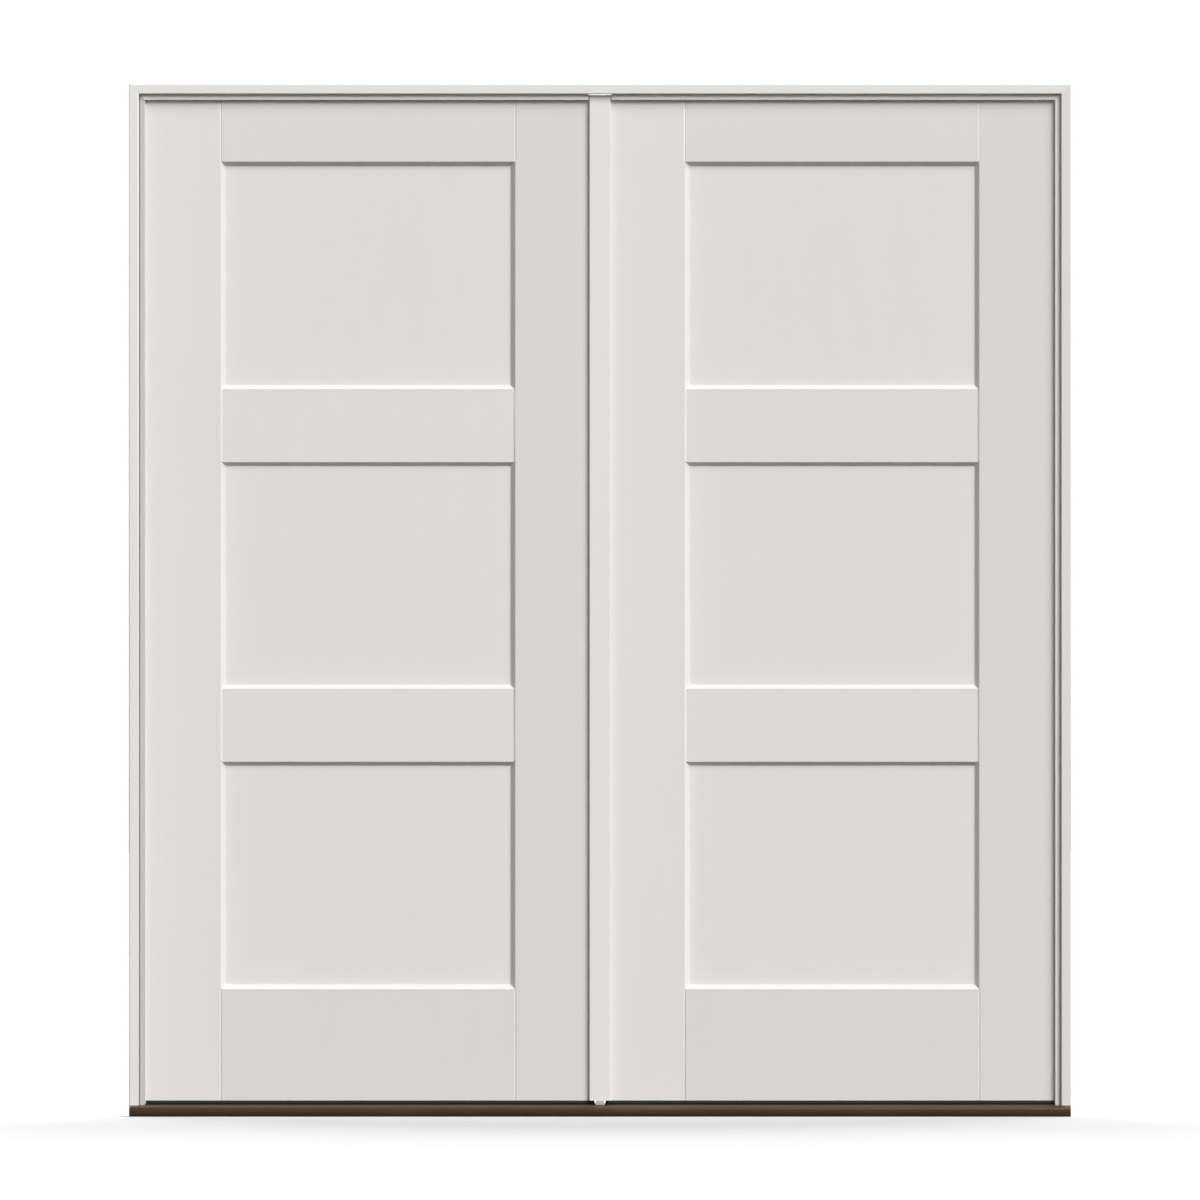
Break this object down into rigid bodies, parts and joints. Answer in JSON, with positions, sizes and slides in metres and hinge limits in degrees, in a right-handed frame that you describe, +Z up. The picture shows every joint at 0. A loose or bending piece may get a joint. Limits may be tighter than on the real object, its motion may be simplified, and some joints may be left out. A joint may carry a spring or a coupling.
{
  "type": "double entry door",
  "caption": "Pair of panelled entry door leaves in a rabbeted frame with a metal sill, opening inwards on butt hinges, with an astragal and flush bolts.",
  "frame": {"origin": "on the floor under the sill, midway between the jambs and in the middle of the jambs' depth", "axes": "+X across the doorway to the active leaf's side as seen from outdoors, +Y indoors, the way the leaves open, +Z up"},
  "size_m": [1.88, 0.1113, 2.06],
  "materials": {
    "frame_paint": "satin off-white primer on timber",
    "leaf_skin": "smooth off-white fibreglass",
    "astragal_paint": "off-white enamel on aluminium",
    "core_wood": "bare laminated timber",
    "foam": "rigid insulating foam",
    "hinge_steel": "satin nickel plate",
    "bolt_steel": "zinc plate",
    "strike_plate": "satin nickel plate",
    "seal_foam": "off-white foam in a vinyl skin",
    "black_vinyl": "black vinyl",
    "pad_foam": "dark foam",
    "grey_block": "grey moulded rubber",
    "sill_composite": "dark composite",
    "bronze_sill": "dark bronze anodising",
    "dark_cap": "dark brown composite"
  },
  "bodies": {
    "frame": {"sill_substrate": "sill_composite", "sill_deck": "bronze_sill", "threshold_cap": "dark_cap", "jamb_left": "frame_paint", "jamb_right": "frame_paint", "head_jamb": "frame_paint", "weatherstrip_head": "seal_foam", "weatherstrip_left": "seal_foam", "weatherstrip_right": "seal_foam", "corner_pads": "pad_foam", "astragal_seal_block": "grey_block", "head_strike": "strike_plate", "sill_strike": "strike_plate", "left_hinge_pins": "hinge_steel", "right_hinge_pins": "hinge_steel", "left_hinge_1_jamb_plate": "hinge_steel", "left_hinge_2_jamb_plate": "hinge_steel", "left_hinge_3_jamb_plate": "hinge_steel", "right_hinge_1_jamb_plate": "hinge_steel", "right_hinge_2_jamb_plate": "hinge_steel", "right_hinge_3_jamb_plate": "hinge_steel"},
    "active_leaf": {"active_exterior_skin": "leaf_skin", "active_interior_skin": "leaf_skin", "active_hinge_stile": "core_wood", "active_lock_stile": "core_wood", "active_top_rail": "core_wood", "active_bottom_rail": "core_wood", "active_lock_block": "core_wood", "active_foam_core": "foam", "active_bottom_sweep": "black_vinyl", "right_hinge_1_leaf_plate": "hinge_steel", "right_hinge_2_leaf_plate": "hinge_steel", "right_hinge_3_leaf_plate": "hinge_steel"},
    "passive_leaf": {"passive_exterior_skin": "leaf_skin", "passive_interior_skin": "leaf_skin", "passive_hinge_stile": "core_wood", "passive_lock_stile": "core_wood", "passive_top_rail": "core_wood", "passive_bottom_rail": "core_wood", "passive_lock_block": "core_wood", "passive_foam_core": "foam", "passive_bottom_sweep": "black_vinyl", "left_hinge_1_leaf_plate": "hinge_steel", "left_hinge_2_leaf_plate": "hinge_steel", "left_hinge_3_leaf_plate": "hinge_steel", "astragal": "astragal_paint", "astragal_weatherstrip": "seal_foam"},
    "top_bolt": {"top_flush_bolt": "bolt_steel"},
    "bottom_bolt": {"bottom_flush_bolt": "bolt_steel"}
  },
  "joints": [
    {"name": "active_swing", "type": "hinge", "parent": "frame", "child": "active_leaf", "pos_m": [0.9185, 0.0408, 0], "axis": [0, 0, -1], "range_deg": [0, 110]},
    {"name": "passive_swing", "type": "hinge", "parent": "frame", "child": "passive_leaf", "pos_m": [-0.9185, 0.0408, 0], "axis": [0, 0, 1], "range_deg": [0, 100]},
    {"name": "top_bolt_slide", "type": "slide", "parent": "passive_leaf", "child": "top_bolt", "axis": [0, 0, 1], "range_m": [0, 0.016]},
    {"name": "bottom_bolt_slide", "type": "slide", "parent": "passive_leaf", "child": "bottom_bolt", "axis": [0, 0, -1], "range_m": [0, 0.016]}
  ],
  "couplings": [
    {"joint": "passive_swing", "follows": "active_swing", "ratio": 0.9}
  ]
}
